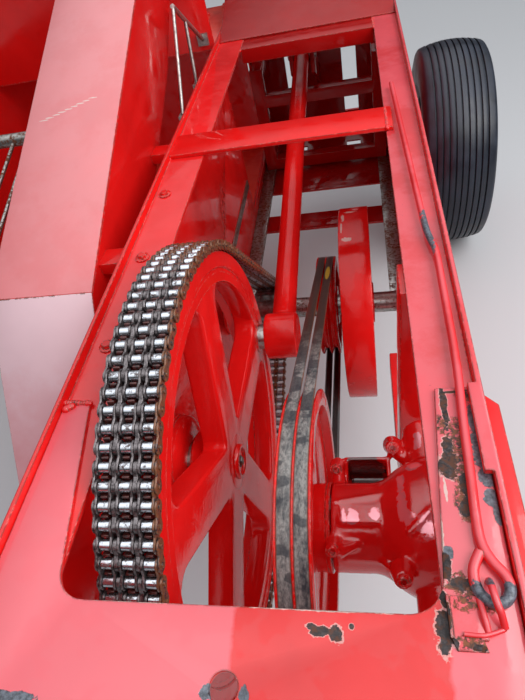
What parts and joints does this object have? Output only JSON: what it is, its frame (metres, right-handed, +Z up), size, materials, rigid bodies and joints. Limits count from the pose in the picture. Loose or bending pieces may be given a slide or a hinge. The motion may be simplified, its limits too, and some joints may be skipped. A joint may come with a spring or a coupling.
{
  "type": "drive section of a small square baler",
  "caption": "Front drive bay of a towed hay baler: frame with gearbox, V-belts, flywheel, triplex chain, spoked crank wheel, connecting rod, plunger and road wheel.",
  "frame": {"origin": "centre of the bolt pattern on the rear flange's rear face", "axes": "+X to the right, +Y to the rear along the chamber, +Z up"},
  "size_m": [1.4285, 2.231, 1.241],
  "materials": {
    "red_paint": "gloss enamel on sheet steel, chipped at the edges",
    "cast_paint": "gloss enamel on castings",
    "chain_steel": "oiled chain with bright rollers",
    "bare_steel": "worn bright",
    "belt_rubber": "scuffed fabric-covered rubber",
    "tyre_rubber": "ribbed implement tyre"
  },
  "bodies": {
    "frame": {"rail_left": "red_paint", "rail_right": "red_paint", "deck": "red_paint", "side_plate_left": "red_paint", "side_plate_right": "red_paint", "rear_flange": "red_paint", "cross_bar": "red_paint", "rear_bar": "red_paint", "rear_cover": "red_paint", "cover_posts": "red_paint", "floor_bar": "red_paint", "post_right": "red_paint", "lower_rail": "red_paint", "plunger_guides": "bare_steel", "crank_bearing": "cast_paint", "counter_bearings": "cast_paint", "gearbox_case": "cast_paint", "gearbox_plate": "red_paint", "chain": "chain_steel", "v_belts": "belt_rubber", "stub_axle": "red_paint", "hood_top": "red_paint", "hood_nose": "red_paint", "hood_side_right": "red_paint", "hood_side_left": "red_paint", "hood_brackets": "red_paint", "hook_rod": "red_paint", "latch": "red_paint", "chamber_floor": "red_paint", "wear_strips": "bare_steel", "feed_panel": "red_paint", "feed_trough": "red_paint", "wind_guard": "bare_steel", "trip_rods": "bare_steel"},
    "crank": {"crank_wheel": "cast_paint", "crank_shaft": "bare_steel", "crank_pin": "bare_steel"},
    "counter_drive": {"countershaft": "red_paint", "flywheel": "cast_paint", "rear_pulley": "cast_paint", "pinion": "chain_steel"},
    "front_drive": {"front_pulley": "cast_paint", "pulley_shaft": "bare_steel"},
    "input_drive": {"input_shaft": "bare_steel"},
    "plunger": {"plunger_frame": "red_paint", "plunger_face": "red_paint", "plunger_ears": "red_paint", "wrist_pin": "bare_steel"},
    "rod": {"connecting_rod": "red_paint"},
    "road_wheel": {"tyre": "tyre_rubber", "wheel_rim": "red_paint"}
  },
  "joints": [
    {"name": "crank_spin", "type": "hinge", "parent": "frame", "child": "crank", "pos_m": [-0.1155, -1.70048, -0.007], "axis": [1, 0, 0], "continuous": true},
    {"name": "counter_spin", "type": "hinge", "parent": "frame", "child": "counter_drive", "pos_m": [-0.1155, -1.17348, -0.172], "axis": [1, 0, 0], "continuous": true},
    {"name": "pulley_spin", "type": "hinge", "parent": "frame", "child": "front_drive", "pos_m": [0.033, -1.80548, -0.011], "axis": [1, 0, 0], "continuous": true},
    {"name": "input_spin", "type": "hinge", "parent": "frame", "child": "input_drive", "pos_m": [0.2045, -1.90048, -0.011], "axis": [0, 1, 0], "continuous": true},
    {"name": "plunger_slide", "type": "slide", "parent": "frame", "child": "plunger", "axis": [0, 1, 0], "range_m": [-0.589, 0.0041]},
    {"name": "rod_swing", "type": "hinge", "parent": "plunger", "child": "rod", "pos_m": [-0.0425, -0.284, 0.105], "axis": [1, 0, 0], "range_deg": [-0.1, 1.2]},
    {"name": "road_wheel_spin", "type": "hinge", "parent": "frame", "child": "road_wheel", "pos_m": [0.4255, -0.26948, -0.278], "axis": [1, 0, 0], "continuous": true}
  ],
  "couplings": [
    {"joint": "counter_spin", "follows": "crank_spin", "ratio": 5.8947},
    {"joint": "pulley_spin", "follows": "crank_spin", "ratio": 3.4684},
    {"joint": "input_spin", "follows": "crank_spin", "ratio": 3.4684},
    {"joint": "rod_swing", "follows": "plunger_slide", "rad_per_m": -0.028446}
  ]
}
